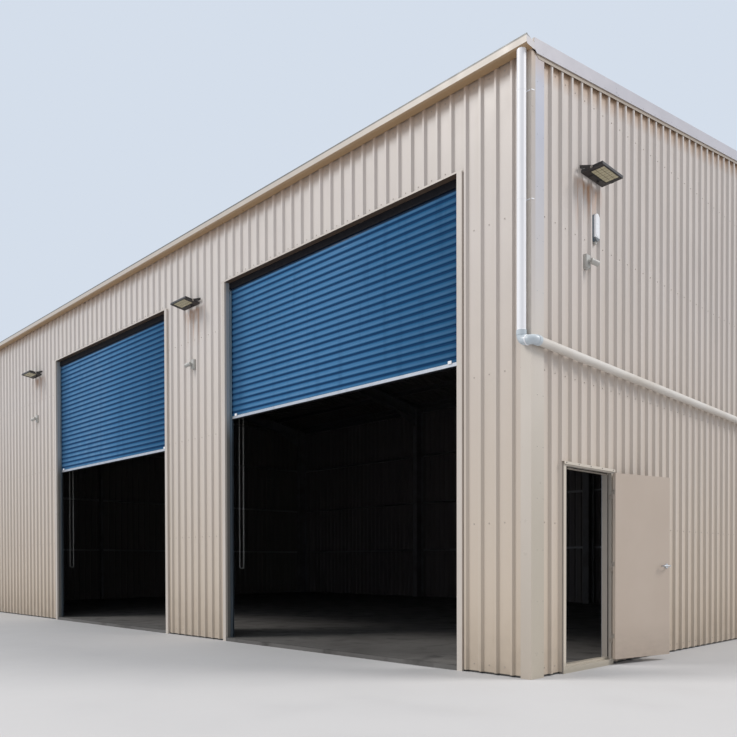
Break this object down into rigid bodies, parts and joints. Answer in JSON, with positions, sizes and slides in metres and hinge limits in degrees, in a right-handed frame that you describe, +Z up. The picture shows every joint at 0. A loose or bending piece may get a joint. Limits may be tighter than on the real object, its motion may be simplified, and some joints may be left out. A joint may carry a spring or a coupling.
{
  "type": "factory building",
  "caption": "Steel portal-frame workshop shed clad in ribbed sheet, with a low gable roof, raised roller shutters in the front wall and a hinged personnel door in the gable.",
  "frame": {"origin": "on the ground at the middle of the footprint", "axes": "+X along the shutter wall towards the gable with the personnel door, +Y from the shutter wall to the rear wall, +Z up"},
  "size_m": [18.3964, 12.4218, 7.1449],
  "materials": {
    "concrete": "trowelled concrete, matt",
    "frame_steel": "shop primer grey",
    "galvanised": "galvanised, dull spangle",
    "wall_sheet": "cream baked enamel on ribbed steel",
    "roof_sheet": "pale grey-green baked enamel",
    "flashing": "cream baked enamel, satin",
    "barge": "pale baked enamel, satin",
    "shutter_steel": "blue baked enamel, satin",
    "guide_steel": "blue-grey, satin",
    "aluminium_bar": "mill finish",
    "chain_steel": "zinc plated",
    "pipe_white": "white pipe plastic",
    "pipe_grey": "pale grey pipe plastic",
    "pipe_painted": "pipe painted to match the wall",
    "door_frame_paint": "gloss cream paint",
    "door_paint": "satin cream paint",
    "hinge_steel": "dark steel",
    "lever_metal": "satin chrome",
    "lamp_black": "black powder coat",
    "lamp_lens": "pale diode panel behind clear cover",
    "sensor_plastic": "light grey plastic",
    "lamp_white": "white moulded plastic"
  },
  "bodies": {
    "building": {"floor_slab": "concrete", "columns": "frame_steel", "front_rafters": "frame_steel", "rear_rafters": "frame_steel", "end_wall_posts": "frame_steel", "roof_purlins": "galvanised", "eave_struts": "galvanised", "side_girts": "galvanised", "end_girts": "galvanised", "shutter_frames": "frame_steel", "door_posts": "galvanised", "corner_pier_cladding": "wall_sheet", "middle_pier_cladding": "wall_sheet", "left_bay_cladding": "wall_sheet", "header_cladding": "wall_sheet", "right_corner_cladding": "wall_sheet", "door_head_cladding": "wall_sheet", "right_wall_cladding": "wall_sheet", "left_wall_cladding": "wall_sheet", "rear_wall_cladding": "wall_sheet", "front_roof": "roof_sheet", "rear_roof": "roof_sheet", "ridge_cap": "roof_sheet", "front_gutter": "flashing", "rear_gutter": "flashing", "right_barge_cap": "barge", "left_barge_cap": "barge", "corner_flashings": "flashing", "shutter_trims": "flashing", "shutter_curtains": "shutter_steel", "shutter_rolls": "shutter_steel", "shutter_guides": "guide_steel", "shutter_brackets": "guide_steel", "bottom_bars": "aluminium_bar", "hand_chains": "chain_steel", "downpipes": "pipe_white", "pipe_elbows": "pipe_grey", "gable_pipe": "pipe_painted", "pipe_brackets": "pipe_white", "door_frame": "door_frame_paint", "frame_hinges": "hinge_steel", "floodlight_heads": "lamp_black", "floodlight_brackets": "lamp_black", "floodlight_lenses": "lamp_lens", "wall_sensors": "sensor_plastic", "wall_lamp": "lamp_white"},
    "door": {"door_leaf": "door_paint", "leaf_hinges": "hinge_steel", "door_roses": "lever_metal"},
    "lever": {"door_lever": "lever_metal"}
  },
  "joints": [
    {"name": "door_swing", "type": "hinge", "parent": "building", "child": "door", "pos_m": [9.053, -4.4935, 1], "axis": [0, 0, 1], "range_deg": [-167, 9]},
    {"name": "lever_turn", "type": "hinge", "parent": "door", "child": "lever", "pos_m": [9.27333, -3.65918, 1.085], "axis": [0.9744, -0.225, 0], "range_deg": [0, 50], "stiffness_Nm_per_rad": 3, "springref_deg": -17.19}
  ]
}
